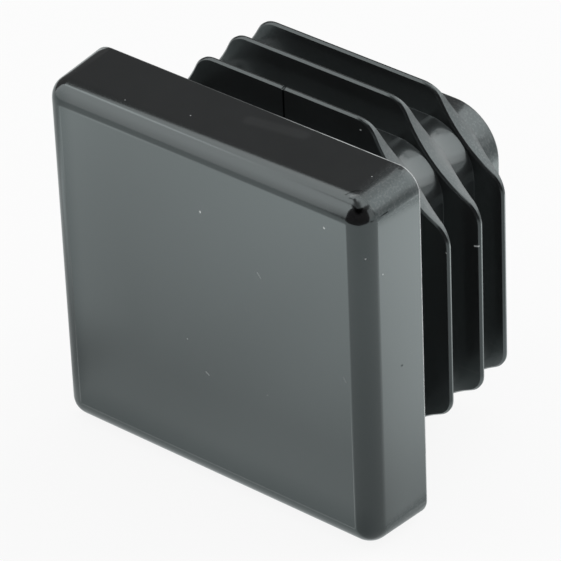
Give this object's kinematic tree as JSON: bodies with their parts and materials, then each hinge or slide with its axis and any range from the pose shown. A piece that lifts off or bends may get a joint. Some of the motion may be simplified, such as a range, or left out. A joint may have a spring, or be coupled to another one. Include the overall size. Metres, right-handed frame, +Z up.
{
  "type": "tube end cap",
  "caption": "Square tube end cap: a square cover with rounded front edges, and behind it a hollow plug with thin sloped fins that grip the inside of the tube.",
  "frame": {"origin": "middle of the seat, the plane of the head's underside where the tube's cut end rests", "axes": "+Y along the tube's axis into the tube, so the head stands out toward -Y; +X right and +Z up, square to the head's sides"},
  "size_m": [0.025, 0.0167, 0.025],
  "materials": {
    "black_plastic": "satin, as moulded"
  },
  "bodies": {
    "root": {"end_cap": "black_plastic"}
  },
  "joints": []
}
